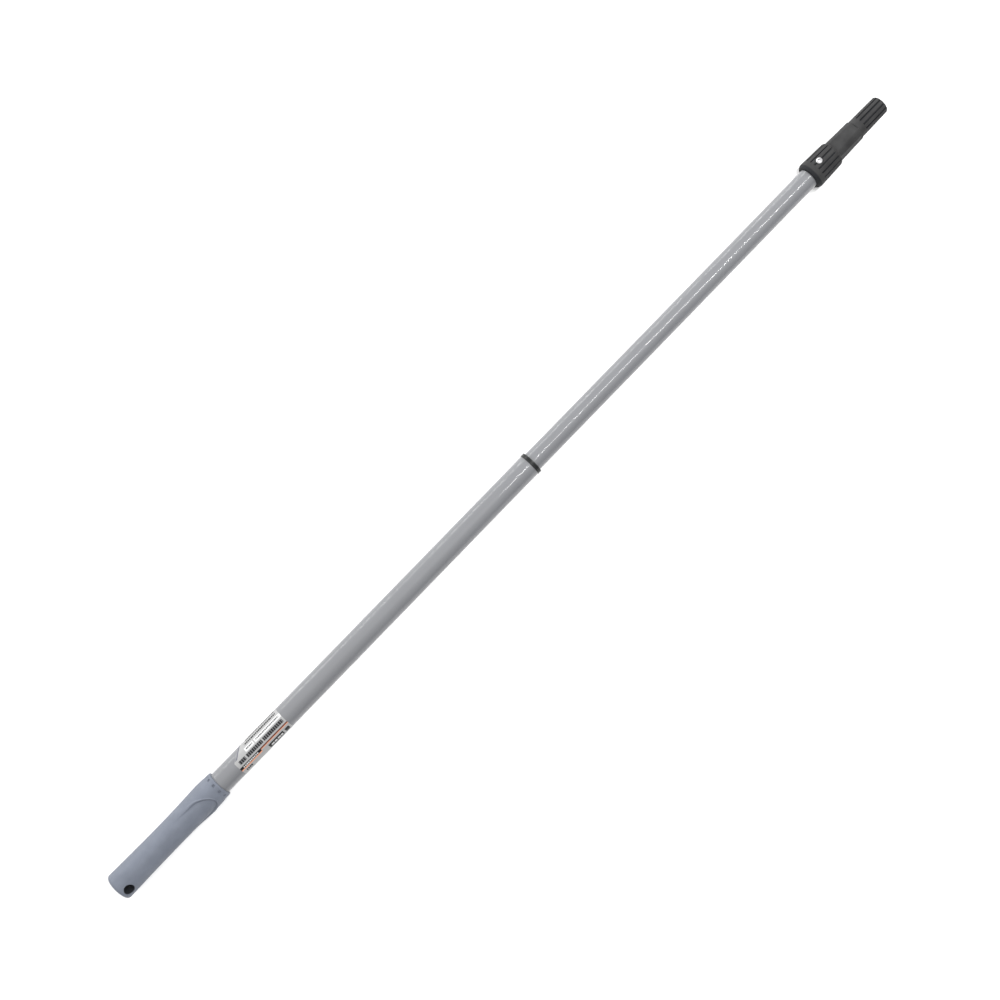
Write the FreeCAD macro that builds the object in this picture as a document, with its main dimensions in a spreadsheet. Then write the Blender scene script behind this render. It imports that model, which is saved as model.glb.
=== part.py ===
"""A two-section telescopic pole with a twist lock inside, a moulded grip and a grooved tool tip.

The pole lies along +X with its tool tip towards +X, and rests on z = 0. The origin is on that
surface, below the middle of the pole's length. Stations along the pole are measured from the
closed end of the grip. Angles round the pole start at the top (+Z) and grow towards -Y.
"""
import FreeCAD, Part
import os
import re

import Sketcher

# Driving dimensions, in millimetres and degrees.
DIMENSIONS = {
    # The whole pole, drawn out to its rest position.
    "overall_length": 1138,
    # Tubes.
    "outer_tube_od": 25,
    "inner_tube_od": 22,
    "tube_wall": 0.5,
    "outer_tube_start": 18,
    "outer_tube_end": 600,
    "inner_tube_start": 484,
    # Grip.
    "grip_length": 146,
    "grip_heel_od": 31.3,
    "grip_waist_od": 29.2,
    "grip_waist_at": 72,
    "grip_swell_od": 30.9,
    "grip_swell_at": 115,
    "grip_bulge_od": 31.7,
    "grip_bulge_at": 127,
    "grip_rim_od": 29.8,
    "grip_heel_radius": 3.4,
    "grip_rim_chamfer": 1.6,
    "grip_turn": 38,
    "hang_hole_d": 11,
    "hang_hole_at": 10,
    "hang_hole_edge": 0.8,
    "thumb_back": 86,
    "thumb_side": 118,
    "thumb_front": 132.5,
    "thumb_back_half": 6,
    "thumb_side_half": 12.6,
    "thumb_depth": 1.1,
    "thumb_back_lift": 0.1,
    "dimple_count": 11,
    "dimple_at": 140.8,
    "dimple_length": 2.2,
    "dimple_width": 2.6,
    "dimple_depth": 0.6,
    "dimple_slope": 0.1,
    # Label, a thin wrap with one corner cut off at a slant.
    "label_start": 171.7,
    "label_length": 67.4,
    "label_thickness": 0.12,
    "label_wrap": 230,
    "label_slant_from": 3,
    "label_slant_to": 14,
    # Bush in the outer tube's mouth.
    "bush_flange": 4.6,
    "bush_flange_od": 26.3,
    "bush_sleeve": 20,
    "bush_bore": 22.8,
    "bush_lead": 0.3,
    "bush_groove": 0.7,
    # Guide on the inner tube's lower end.
    "guide_length": 17,
    "guide_od": 23.2,
    # Lock: plug, eccentric journal, split ring, disc.
    "lock_offset": 0.4,
    "plug_length": 24,
    "plug_core_d": 14,
    "plug_core_depth": 10,
    "plug_flange": 4,
    "plug_flange_od": 22,
    "journal_d": 12,
    "journal_length": 22,
    "lock_ring_od": 23.4,
    "lock_ring_bore": 12.16,
    "lock_ring_gap": 0.3,
    "lock_ring_slit": 2.4,
    "lock_ring_flutes": 9,
    "flute_width": 1.6,
    "flute_depth": 0.6,
    "drag_ring_cord": 1.6,
    "drag_ring_od": 23.6,
    "drag_groove": 2,
    "washer_od": 19,
    "washer_thickness": 2.5,
    "pin_d": 3,
    "pin_length": 21.6,
    "pin_at": 8,
    # Screws.
    "screw_d": 4,
    "screw_shank": 14,
    "screw_head_d": 7.6,
    "screw_head": 2.6,
    "tip_screw_d": 3.2,
    "tip_screw_shank": 7,
    "tip_screw_head_d": 7.2,
    "tip_screw_head": 2.2,
    "cross_width": 0.9,
    "cross_span": 3.8,
    "cross_depth": 1.3,
    # Tool tip.
    "tip_start": 1026,
    "tip_turn": -18,
    "tip_mouth_od": 28.2,
    "tip_collar_od": 31.6,
    "tip_lead": 3.3,
    "tip_lead_middle": 1.15,
    "tip_round_drop": 0.5,
    "tip_shoulder_od": 29.3,
    "tip_collar_length": 37.6,
    "tip_shoulder": 2.2,
    "tip_shoulder_middle": 0.6,
    "tip_shoulder_step": 0.3,
    "tip_neck_od": 26,
    "tip_neck_end_od": 23.8,
    "tip_neck_end": 71.4,
    "tip_flats": 4,
    "tip_flat": 11.2,
    "tip_flat_end": 10.85,
    "spigot_od": 21.8,
    "spigot_end_od": 20.9,
    "spigot_chamfer": 1.2,
    "socket_depth": 35,
    "neck_core_d": 15,
    "neck_core_end": 64,
    "spigot_core_d": 10,
    "spigot_core_depth": 28,
    "collar_grooves": 16,
    "collar_groove_start": 8.6,
    "collar_groove_start_od": 30.4,
    "collar_groove_width": 1.9,
    "spigot_grooves": 12,
    "spigot_groove_start": 78.9,
    "spigot_groove_start_od": 21.4,
    "spigot_groove_width": 2.1,
    "groove_depth": 1.2,
    "groove_run_in": 1.2,
    "groove_lead": 0.6,
    "screw_seat_at": 16.15,
    "screw_seat": 14.5,
    "screw_seat_d": 8,
    # How far a cut runs on past what it cuts.
    "overrun": 1,
}

FULL_TURN = 360
CLEAR = 40  # longer than the pole is thick, for cuts that pass right through
ARC_MIDDLE = 1 - 0.5 ** 0.5  # how far in a quarter round's middle lies, as a share of its radius
SAME, NEAR = 0.01, 0.1  # how close two sizes have to be, in millimetres

# A pan head screw's proportions.
POINT_RADIUS, POINT_LENGTH = 0.15, 0.6  # shares of the thread's diameter
HEAD_RIM = 0.45  # the straight rim's share of the head's height
HEAD_TOP = 0.28  # the flat top's radius, as a share of the head's width
HEAD_ROUND = (0.435, 0.82)  # a point on the round side, as shares of the head's width and height

doc = FreeCAD.newDocument("telescopic_pole")


def fill_sheet():
    """The spreadsheet that holds every driving dimension under its own name."""
    sheet = doc.addObject("Spreadsheet::Sheet", "dims")
    for row, (name, size) in enumerate(DIMENSIONS.items(), start=1):
        sheet.set(f"A{row}", name)
        sheet.set(f"B{row}", str(size))
        sheet.setAlias(f"B{row}", name)
    doc.recompute()


def sized(text):
    """Turns each word of a formula into its cell of the sheet."""
    return re.sub(r"[a-z]\w*", lambda word: cell(word[0]), text)


def cell(word):
    """A dimension's cell in the sheet, or any other word as it is."""
    return "dims." + word if word in DIMENSIONS else word


def bind(owner, target, text):
    """Drives one size of an object by a formula over the sheet."""
    owner.setExpression(target, sized(text))


def new_body(name, station, turn="0"):
    """A body whose own x = 0 is at a station of the pole, turned about the pole's axis."""
    body = doc.addObject("PartDesign::Body", name)
    body.Label = name
    upright = FreeCAD.Rotation(FreeCAD.Vector(1, 0, 0), 0)
    body.Placement = FreeCAD.Placement(FreeCAD.Vector(0, 0, 0), upright)
    bind(body, "Placement.Base.x", f"{station} - overall_length / 2")
    bind(body, "Placement.Base.z", "grip_bulge_od / 2")
    bind(body, "Placement.Rotation.Angle", f"1deg * ({turn})")
    return body


def origin_part(body, role):
    """One of a body's own origin planes or axes."""
    return next(item for item in body.Origin.OriginFeatures if item.Role == role)


def new_sketch(body, name, plane):
    """An empty sketch on one of a body's origin planes."""
    sketch = body.newObject("Sketcher::SketchObject", name)
    sketch.AttachmentSupport = (origin_part(body, plane), [""])
    sketch.MapMode = "FlatFace"
    return sketch


def place_of(sketch, point):
    """The present place of a point given by two formulas."""
    return FreeCAD.Vector(*[float(sketch.evalExpression(sized(text))) for text in point], 0)


def hold(sketch, geometry, vertex, point):
    """Keeps one vertex of a sketch at a point given by two formulas."""
    now = place_of(sketch, point)
    for kind, text, value in (("DistanceX", point[0], now.x), ("DistanceY", point[1], now.y)):
        rule = Sketcher.Constraint(kind, -1, 1, geometry, vertex, value)
        name = f"size_{sketch.addConstraint(rule)}"
        sketch.renameConstraint(sketch.ConstraintCount - 1, name)
        bind(sketch, f"Constraints.{name}", text)


def outline(body, name, corners, plane="XY_Plane", curved=None):
    """A closed outline through corners, each a pair of formulas (along, across).

    curved maps a side's number to a point that the side passes through as an arc."""
    sketch = new_sketch(body, name, plane)
    curved = curved or {}
    places = [place_of(sketch, corner) for corner in corners]
    ends = []
    for side, (start, end) in enumerate(zip(places, places[1:] + places[:1])):
        if side not in curved:
            sketch.addGeometry(Part.LineSegment(start, end))
            ends.append((1, 2))
            continue
        middle = place_of(sketch, curved[side])
        anticlockwise = (middle - start).cross(end - middle).z > 0
        first, last = (start, end) if anticlockwise else (end, start)
        sketch.addGeometry(Part.Arc(first, middle, last))
        ends.append((1, 2) if anticlockwise else (2, 1))
    for side in range(len(corners)):
        after = (side + 1) % len(corners)
        rule = Sketcher.Constraint("Coincident", side, ends[side][1], after, ends[after][0])
        sketch.addConstraint(rule)
    for side, corner in enumerate(corners):
        hold(sketch, side, ends[side][0], corner)
    for side, point in curved.items():
        guide = sketch.addGeometry(Part.Point(place_of(sketch, point)), True)
        sketch.addConstraint(Sketcher.Constraint("PointOnObject", guide, 1, side))
        hold(sketch, guide, 1, point)
    return sketch


def spun(sketch, angle):
    """Turns a sketch on its plane about the body's x axis."""
    upright = FreeCAD.Rotation(FreeCAD.Vector(1, 0, 0), 0)
    sketch.AttachmentOffset = FreeCAD.Placement(FreeCAD.Vector(0, 0, 0), upright)
    bind(sketch, "AttachmentOffset.Rotation.Angle", angle)


def circles(body, name, plane, centre, diameters):
    """A sketch of circles round one centre, given by formulas."""
    sketch = new_sketch(body, name, plane)
    for diameter in diameters:
        size = float(sketch.evalExpression(sized(diameter)))
        shape = Part.Circle(place_of(sketch, centre), FreeCAD.Vector(0, 0, 1), size / 2)
        ring = sketch.addGeometry(shape)
        sketch.addConstraint(Sketcher.Constraint("Diameter", ring, size))
        sketch.renameConstraint(sketch.ConstraintCount - 1, f"across_{ring}")
        bind(sketch, f"Constraints.across_{ring}", diameter)
        hold(sketch, ring, 3, centre)
    return sketch


def turned(body, name, corners, curved=None, angle="360"):
    """A solid of revolution about the body's x axis from an outline of (station, radius).

    A part turn is centred on the body's z axis."""
    sketch = outline(body, name + "_outline", corners, "XZ_Plane", curved)
    solid = body.newObject("PartDesign::Revolution", name)
    solid.Profile = sketch
    solid.ReferenceAxis = (sketch, ["H_Axis"])
    solid.Midplane = True
    bind(solid, "Angle", f"1deg * ({angle})")
    return solid


def padded(body, name, sketch, length):
    """A straight pad of a sketch along its normal."""
    solid = body.newObject("PartDesign::Pad", name)
    solid.Profile = sketch
    bind(solid, "Length", f"1mm * ({length})")
    return solid


def pocketed(body, name, sketch, length, both_ways=False, reverse=False):
    """A straight cut of a sketch, one way or half each way. It has to remove material."""
    doc.recompute()
    before = body.Shape.Volume
    cut = body.newObject("PartDesign::Pocket", name)
    cut.Profile = sketch
    cut.Midplane = both_ways
    cut.Reversed = reverse
    bind(cut, "Length", f"1mm * ({length})")
    doc.recompute()
    if not body.Shape.Volume < before:
        raise RuntimeError(f"{name} removes nothing from {body.Label}")
    return cut


def repeated(body, name, feature, count):
    """A feature repeated evenly round the body's x axis."""
    pattern = body.newObject("PartDesign::PolarPattern", name)
    pattern.Originals = [feature]
    pattern.Axis = (origin_part(body, "X_Axis"), [""])
    pattern.Angle = FULL_TURN
    bind(pattern, "Occurrences", count)
    body.Tip = pattern
    return pattern


def softened(body, name, kind, wanted, size):
    """A fillet or chamfer on the edges of the body's tip that a test picks out."""
    doc.recompute()
    base = body.Tip
    edges = enumerate(base.Shape.Edges, start=1)
    picked = [f"Edge{number}" for number, edge in edges if wanted(edge)]
    if not picked:
        raise RuntimeError(f"{name} finds no edge of {body.Label}")
    feature = body.newObject(f"PartDesign::{kind}", name)
    feature.Base = (base, picked)
    bind(feature, "Radius" if kind == "Fillet" else "Size", size)
    return feature


def tube(name, station, length, diameter, wall="tube_wall"):
    """A plain tube along the pole."""
    body = new_body(name, station)
    inside = f"{diameter} - 2 * {wall}"
    section = circles(body, "section", "YZ_Plane", ("0", "0"), [diameter, inside])
    padded(body, "wall", section, length)
    return body


def make_outer_tube():
    """The lower section, from its seat in the grip to the bush."""
    tube("outer_tube", "outer_tube_start", "outer_tube_end - outer_tube_start", "outer_tube_od")


def make_inner_tube():
    """The upper section, with holes for the lock's pin and the tip's screw."""
    length = "tip_start + socket_depth - inner_tube_start"
    body = tube("inner_tube", "inner_tube_start", length, "inner_tube_od")
    pin_hole = circles(body, "pin_hole_outline", "XY_Plane", ("pin_at", "0"), ["pin_d"])
    pocketed(body, "pin_hole", pin_hole, str(CLEAR), both_ways=True)
    centre = ("tip_start + screw_seat_at - inner_tube_start", "0")
    screw_hole = circles(body, "screw_hole_outline", "XY_Plane", centre, ["tip_screw_d"])
    spun(screw_hole, "1deg * tip_turn")
    pocketed(body, "screw_hole", screw_hole, "inner_tube_od / 2 + overrun", reverse=True)


def make_grip():
    """The moulded handle: a closed heel with the hang hole, a waist, a bulge and a plain mouth."""
    body = new_body("grip", "0", "grip_turn")
    heel = "grip_heel_od / 2"
    corners = [
        ("0", "0"),
        ("0", f"{heel} - grip_heel_radius"),
        ("grip_heel_radius", heel),
        ("grip_swell_at", "grip_swell_od / 2"),
        ("grip_length", "grip_rim_od / 2"),
        ("grip_length", "outer_tube_od / 2"),
        ("outer_tube_start", "outer_tube_od / 2"),
        ("outer_tube_start", "0"),
    ]
    inset = f"{ARC_MIDDLE} * grip_heel_radius"
    curved = {
        1: (inset, f"{heel} - {inset}"),
        2: ("grip_waist_at", "grip_waist_od / 2"),
        3: ("grip_bulge_at", "grip_bulge_od / 2"),
    }
    turned(body, "handle", corners, curved)
    softened(body, "rim", "Chamfer", lambda edge: is_ring(edge, "grip_length", "grip_rim_od"),
             "grip_rim_chamfer")
    hole = circles(body, "hang_hole_outline", "XY_Plane", ("hang_hole_at", "0"), ["hang_hole_d"])
    pocketed(body, "hang_hole", hole, str(CLEAR), both_ways=True)
    softened(body, "hang_hole_edge_round", "Fillet", is_hang_hole_edge, "hang_hole_edge")
    cut_thumb_recess(body)
    dimple = outline(body, "dimple_outline", [
        ("dimple_at", "grip_rim_od / 2 - dimple_depth + dimple_slope"),
        ("dimple_at + dimple_length", "grip_rim_od / 2 - dimple_depth"),
        ("dimple_at + dimple_length", "grip_bulge_od / 2 + overrun"),
        ("dimple_at", "grip_bulge_od / 2 + overrun"),
    ], plane="XZ_Plane")
    spun(dimple, "180deg / dimple_count")
    cut = pocketed(body, "dimple", dimple, "dimple_width", both_ways=True)
    repeated(body, "dimples", cut, "dimple_count")


def is_ring(edge, station, diameter):
    """Whether an edge is the full circle of that diameter at that station of its body."""
    curve = edge.Curve
    if not isinstance(curve, Part.Circle):
        return False
    same_place = abs(curve.Center.x - DIMENSIONS[station]) < SAME
    return same_place and abs(2 * curve.Radius - DIMENSIONS[diameter]) < SAME


def is_hang_hole_edge(edge):
    """Whether an edge is where the hang hole breaks out of the handle's surface."""
    box = edge.BoundBox
    middle, reach = DIMENSIONS["hang_hole_at"], DIMENSIONS["hang_hole_d"] / 2 + NEAR
    along = middle - reach < box.XMin and box.XMax < middle + reach
    across = -reach < box.YMin and box.YMax < reach
    return along and across and not isinstance(edge.Curve, Part.Line)


def cut_thumb_recess(grip):
    """A shallow scoop for the thumb: deepest at its rounded front edge, and fading out behind."""
    doc.recompute()
    before = grip.Shape.Volume
    cutter = doc.addObject("PartDesign::Body", "thumb_cutter")
    scoop = outline(cutter, "scoop_outline", [
        ("thumb_back", "-1 * thumb_back_half"),
        ("thumb_side", "-1 * thumb_side_half"),
        ("thumb_side", "thumb_side_half"),
        ("thumb_back", "thumb_back_half"),
    ], curved={1: ("thumb_front", "0")})
    padded(cutter, "scoop", scoop, "grip_bulge_od")
    floor = outline(cutter, "floor_outline", [
        ("thumb_back - overrun", "0"),
        ("thumb_back - overrun", "grip_waist_od / 2 + thumb_back_lift"),
        ("thumb_front", "grip_bulge_od / 2 - thumb_depth"),
        ("thumb_front + overrun", "grip_bulge_od / 2 - thumb_depth"),
        ("thumb_front + overrun", "0"),
    ])
    core = cutter.newObject("PartDesign::Groove", "floor")
    core.Profile = floor
    core.ReferenceAxis = (floor, ["H_Axis"])
    core.Angle = FULL_TURN
    recess = grip.newObject("PartDesign::Boolean", "thumb_recess")
    recess.setObjects([cutter])
    recess.Type = "Cut"
    grip.Tip = recess
    doc.recompute()
    if not grip.Shape.Volume < before:
        raise RuntimeError("the thumb recess removes nothing from the grip")


def make_label():
    """A printed wrap on the outer tube, centred on top, with its lower corner cut at a slant."""
    body = new_body("label", "label_start")
    inner = "outer_tube_od / 2"
    outer = "outer_tube_od / 2 + label_thickness"
    corners = [("0", inner), ("label_length", inner), ("label_length", outer), ("0", outer)]
    turned(body, "wrap", corners, angle="label_wrap")
    beyond = "outer_tube_od / 2 + overrun"
    slant = outline(body, "slant_outline", [
        ("-1 * overrun", "label_slant_from"),
        ("0", "label_slant_from"),
        ("label_slant_to", beyond),
        ("-1 * overrun", beyond),
    ])
    pocketed(body, "slant", slant, str(CLEAR), both_ways=True)


def make_collar_bush():
    """The bush: a ring that shows beyond the outer tube's mouth, and a sleeve inside the tube."""
    body = new_body("collar_bush", "outer_tube_end")
    bore = "bush_bore / 2"
    inside = "outer_tube_od / 2 - tube_wall"
    flange = "bush_flange_od / 2"
    middle = "bush_flange / 2"
    turned(body, "bush", [
        ("-1 * bush_sleeve", bore),
        ("-1 * bush_sleeve", inside),
        ("0", inside),
        ("0", f"{flange} - bush_lead"),
        ("bush_lead", flange),
        (f"{middle} - bush_groove / 2", flange),
        (middle, f"{flange} - bush_groove / 2"),
        (f"{middle} + bush_groove / 2", flange),
        ("bush_flange - bush_lead", flange),
        ("bush_flange", f"{flange} - bush_lead"),
        ("bush_flange", f"{bore} + bush_lead"),
        ("bush_flange - bush_lead", bore),
    ])


def make_guide_sleeve():
    """The sleeve round the inner tube's lower end. It meets the bush when the pole is drawn out."""
    wall = "(guide_od - inner_tube_od) / 2"
    tube("guide_sleeve", "inner_tube_start", "guide_length", "guide_od", wall)


def make_lock_spindle():
    """The plug in the inner tube's lower end, its stop flange and its eccentric journal."""
    body = new_body("lock_spindle", "inner_tube_start")
    plug = circles(body, "plug_outline", "YZ_Plane", ("0", "0"), ["inner_tube_od - 2 * tube_wall"])
    padded(body, "plug", plug, "plug_length")
    flange = circles(body, "flange_outline", "YZ_Plane", ("0", "0"), ["plug_flange_od"])
    padded(body, "flange", flange, "plug_flange").Reversed = True
    journal = circles(body, "journal_outline", "YZ_Plane", ("0", "lock_offset"), ["journal_d"])
    padded(body, "journal", journal, "plug_flange + journal_length").Reversed = True
    core = circles(body, "core_outline", "YZ_Plane", ("0", "0"), ["plug_core_d"])
    core.AttachmentOffset = FreeCAD.Placement()
    bind(core, "AttachmentOffset.Base.z", "plug_length - plug_core_depth")
    pocketed(body, "core", core, "plug_core_depth + overrun", reverse=True)
    pilot = circles(body, "pilot_outline", "YZ_Plane", ("0", "lock_offset"), ["screw_d"])
    bind(pilot, "AttachmentOffset.Base.z", "-1 * plug_flange - journal_length")
    pocketed(body, "pilot", pilot, "screw_shank - washer_thickness + overrun", reverse=True)
    pin_hole = circles(body, "pin_hole_outline", "XY_Plane", ("pin_at", "0"), ["pin_d"])
    pocketed(body, "pin_hole", pin_hole, str(CLEAR), both_ways=True)


def make_spindle_pin():
    """The cross pin through the inner tube and the plug. The guide sleeve keeps it in."""
    body = new_body("spindle_pin", "inner_tube_start")
    section = circles(body, "section", "XY_Plane", ("pin_at", "0"), ["pin_d"])
    pin = padded(body, "pin", section, "pin_length")
    pin.Midplane = True


def make_lock_ring():
    """The split ring on the journal. Its outside is true to the tubes, its bore to the journal."""
    body = new_body("lock_ring", "inner_tube_start - plug_flange - journal_length + lock_ring_gap")
    length = "journal_length - 2 * lock_ring_gap"
    outside = circles(body, "outside_outline", "YZ_Plane", ("0", "0"), ["lock_ring_od"])
    padded(body, "outside", outside, length)
    bore = circles(body, "bore_outline", "YZ_Plane", ("0", "lock_offset"), ["lock_ring_bore"])
    pocketed(body, "bore", bore, length, reverse=True)
    middle = f"({length}) / 2"
    floor = "drag_ring_od / 2 - drag_ring_cord"
    groove = outline(body, "groove_outline", [
        (f"{middle} - drag_groove / 2", floor),
        (f"{middle} + drag_groove / 2", floor),
        (f"{middle} + drag_groove / 2", "lock_ring_od / 2 + overrun"),
        (f"{middle} - drag_groove / 2", "lock_ring_od / 2 + overrun"),
    ])
    seat = body.newObject("PartDesign::Groove", "drag_ring_seat")
    seat.Profile = groove
    seat.ReferenceAxis = (groove, ["H_Axis"])
    seat.Angle = FULL_TURN
    flute = outline(body, "flute_outline", [
        ("-1 * overrun", "lock_ring_od / 2 - flute_depth"),
        (f"{length} + overrun", "lock_ring_od / 2 - flute_depth"),
        (f"{length} + overrun", "lock_ring_od / 2 + overrun"),
        ("-1 * overrun", "lock_ring_od / 2 + overrun"),
    ], plane="XZ_Plane")
    cut = pocketed(body, "flute", flute, "flute_width", both_ways=True)
    repeated(body, "flutes", cut, "lock_ring_flutes")
    slit = outline(body, "slit_outline", [
        ("-1 * overrun", "0"),
        (f"{length} + overrun", "0"),
        (f"{length} + overrun", "lock_ring_od"),
        ("-1 * overrun", "lock_ring_od"),
    ], plane="XZ_Plane")
    pocketed(body, "slit", slit, "lock_ring_slit", both_ways=True)


def make_drag_ring():
    """The rubber ring in the lock ring's groove."""
    body = new_body("drag_ring", "inner_tube_start - plug_flange - journal_length / 2")
    centre = ("0", "(drag_ring_od - drag_ring_cord) / 2")
    section = circles(body, "section", "XY_Plane", centre, ["drag_ring_cord"])
    ring = body.newObject("PartDesign::Revolution", "ring")
    ring.Profile = section
    ring.ReferenceAxis = (section, ["H_Axis"])
    ring.Angle = FULL_TURN


def make_lock_washer():
    """The disc that keeps the ring on the journal."""
    station = "inner_tube_start - plug_flange - journal_length - washer_thickness"
    body = new_body("lock_washer", station)
    section = circles(body, "section", "YZ_Plane", ("0", "lock_offset"), ["washer_od", "screw_d"])
    padded(body, "disc", section, "washer_thickness")


def pan_head_screw(body, seat, thread, shank, head_width, head_height):
    """A pan head cross screw along the body's z axis, with the head's underside at the seat."""
    sketch = outline(body, "screw_outline", [
        ("0", f"{seat} - {shank}"),
        (f"{POINT_RADIUS} * {thread}", f"{seat} - {shank}"),
        (f"{thread} / 2", f"{seat} - {shank} + {POINT_LENGTH} * {thread}"),
        (f"{thread} / 2", seat),
        (f"{head_width} / 2", seat),
        (f"{head_width} / 2", f"{seat} + {HEAD_RIM} * {head_height}"),
        (f"{HEAD_TOP} * {head_width}", f"{seat} + {head_height}"),
        ("0", f"{seat} + {head_height}"),
    ], plane="XZ_Plane", curved={
        5: (f"{HEAD_ROUND[0]} * {head_width}", f"{seat} + {HEAD_ROUND[1]} * {head_height}"),
    })
    screw = body.newObject("PartDesign::Revolution", "screw")
    screw.Profile = sketch
    screw.ReferenceAxis = (sketch, ["V_Axis"])
    screw.Angle = FULL_TURN
    for name, across, along in (("slot_x", "cross_span", "cross_width"),
                                ("slot_y", "cross_width", "cross_span")):
        corners = [(f"{sx} * {across} / 2", f"{sy} * {along} / 2")
                   for sx, sy in ((-1, -1), (1, -1), (1, 1), (-1, 1))]
        slot = outline(body, name + "_outline", corners)
        bind(slot, "AttachmentOffset.Base.z", f"{seat} + {head_height} - cross_depth")
        pocketed(body, name, slot, "cross_depth + overrun", reverse=True)


def make_lock_screw():
    """The screw up the middle of the journal. Its head is on the disc and points to the grip."""
    end = "inner_tube_start - plug_flange - journal_length - washer_thickness"
    body = new_body("lock_screw", end)
    pan_head_screw(body, "0", "screw_d", "screw_shank", "screw_head_d", "screw_head")
    bind(body, "Placement.Base.z", "grip_bulge_od / 2 + lock_offset")
    body.setExpression("Placement.Rotation.Angle", None)
    towards_grip = FreeCAD.Rotation(FreeCAD.Vector(0, 1, 0), -90)
    body.Placement = FreeCAD.Placement(body.Placement.Base, towards_grip)


def make_tip_screw():
    """The screw through the tip's collar into the inner tube."""
    body = new_body("tip_screw", "tip_start + screw_seat_at", "tip_turn")
    pan_head_screw(body, "screw_seat", "tip_screw_d", "tip_screw_shank", "tip_screw_head_d",
                   "tip_screw_head")


def make_tool_tip():
    """The moulded tip: a ribbed collar round the tube, a neck with four flats, a grooved spigot."""
    body = new_body("tool_tip", "tip_start", "tip_turn")
    length = "(overall_length - tip_start)"
    socket = "inner_tube_od / 2"
    turned(body, "tip", [
        ("0", socket),
        ("0", "tip_mouth_od / 2"),
        ("tip_lead", "tip_collar_od / 2"),
        ("tip_collar_length - tip_shoulder", "tip_shoulder_od / 2"),
        ("tip_collar_length", "tip_neck_od / 2 + tip_shoulder_step"),
        ("tip_collar_length", "tip_neck_od / 2"),
        ("tip_neck_end", "tip_neck_end_od / 2"),
        ("tip_neck_end", "spigot_od / 2"),
        (f"{length} - spigot_chamfer", "spigot_end_od / 2"),
        (length, "spigot_end_od / 2 - spigot_chamfer"),
        (length, "spigot_core_d / 2"),
        (f"{length} - spigot_core_depth", "spigot_core_d / 2"),
        (f"{length} - spigot_core_depth", "0"),
        ("neck_core_end", "0"),
        ("neck_core_end", "neck_core_d / 2"),
        ("socket_depth", "neck_core_d / 2"),
        ("socket_depth", socket),
    ], curved={
        1: ("tip_lead_middle", "tip_collar_od / 2 - tip_round_drop"),
        3: ("tip_collar_length - tip_shoulder_middle", "tip_shoulder_od / 2 - tip_round_drop"),
    })
    flat = outline(body, "flat_outline", [
        ("tip_collar_length", "tip_flat"),
        ("tip_neck_end", "tip_flat_end"),
        ("tip_neck_end", "tip_collar_od / 2 + overrun"),
        ("tip_collar_length", "tip_collar_od / 2 + overrun"),
    ], plane="XZ_Plane")
    cut = pocketed(body, "flat", flat, str(CLEAR), both_ways=True)
    repeated(body, "flats", cut, "tip_flats")
    cut_grooves(body, "collar_groove", "tip_collar_length + overrun", "tip_shoulder_od / 2")
    cut_grooves(body, "spigot_groove", f"{length} + overrun", "spigot_end_od / 2")
    seat = circles(body, "seat_outline", "XY_Plane", ("screw_seat_at", "0"), ["screw_seat_d"])
    bind(seat, "AttachmentOffset.Base.z", "screw_seat")
    pocketed(body, "seat", seat, "tip_collar_od", reverse=True)
    hole = circles(body, "hole_outline", "XY_Plane", ("screw_seat_at", "0"), ["tip_screw_d"])
    pocketed(body, "hole", hole, "tip_collar_od", reverse=True)


def cut_grooves(body, name, end, end_radius):
    """Narrow grooves along the tip that follow its taper, run in at a slope and run out at an end."""
    begin, start_radius = f"{name}_start", f"{name}_start_od / 2"
    cutter = outline(body, name + "_outline", [
        (begin, f"{start_radius} + groove_lead"),
        (f"{begin} + groove_run_in", f"{start_radius} - groove_depth"),
        (end, f"{end_radius} - groove_depth"),
        (end, "tip_collar_od / 2 + overrun"),
        (begin, "tip_collar_od / 2 + overrun"),
    ], plane="XZ_Plane")
    cut = pocketed(body, name, cutter, f"{name}_width", both_ways=True)
    repeated(body, name + "s", cut, name + "s")


NODES = {
    "outer_tube": make_outer_tube,
    "grip": make_grip,
    "label": make_label,
    "collar_bush": make_collar_bush,
    "inner_tube": make_inner_tube,
    "guide_sleeve": make_guide_sleeve,
    "lock_spindle": make_lock_spindle,
    "spindle_pin": make_spindle_pin,
    "lock_ring": make_lock_ring,
    "drag_ring": make_drag_ring,
    "lock_washer": make_lock_washer,
    "lock_screw": make_lock_screw,
    "tool_tip": make_tool_tip,
    "tip_screw": make_tip_screw,
}


def check_document():
    """Stops if any object failed, or any piece is not one valid solid."""
    for item in doc.Objects:
        if {"Invalid", "Error"} & set(item.State):
            raise RuntimeError(f"{item.Label} failed: {item.State}")
    for name in NODES:
        shape = doc.getObject(name).Shape
        if shape.isNull() or not shape.isValid() or len(shape.Solids) != 1:
            raise RuntimeError(f"{name} is not one valid solid")


def write_parts():
    """Writes each piece to a file of its own name."""
    os.makedirs("parts", exist_ok=True)
    for name in NODES:
        shape = doc.getObject(name).Shape
        shape.exportStep(f"parts/{name}.step")
        box = shape.optimalBoundingBox(False)
        print(f"{name:14} volume {shape.Volume:10.1f}  x {box.XMin:8.2f} {box.XMax:8.2f}"
              f"  y {box.YMin:7.2f} {box.YMax:7.2f}  z {box.ZMin:7.2f} {box.ZMax:7.2f}")


fill_sheet()
for make in NODES.values():
    make()
doc.recompute()
check_document()
write_parts()
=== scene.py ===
"""The looks of a telescopic window cleaning pole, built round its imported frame.

The pole lies along +X on z = 0, its label on top. Stations are measured along the pole from the
closed end of the grip. An angle round the pole is 0 on top and grows towards -Y.
"""

import math

import bmesh
import bpy
import numpy as np
from mathutils import Matrix, Vector


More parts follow.
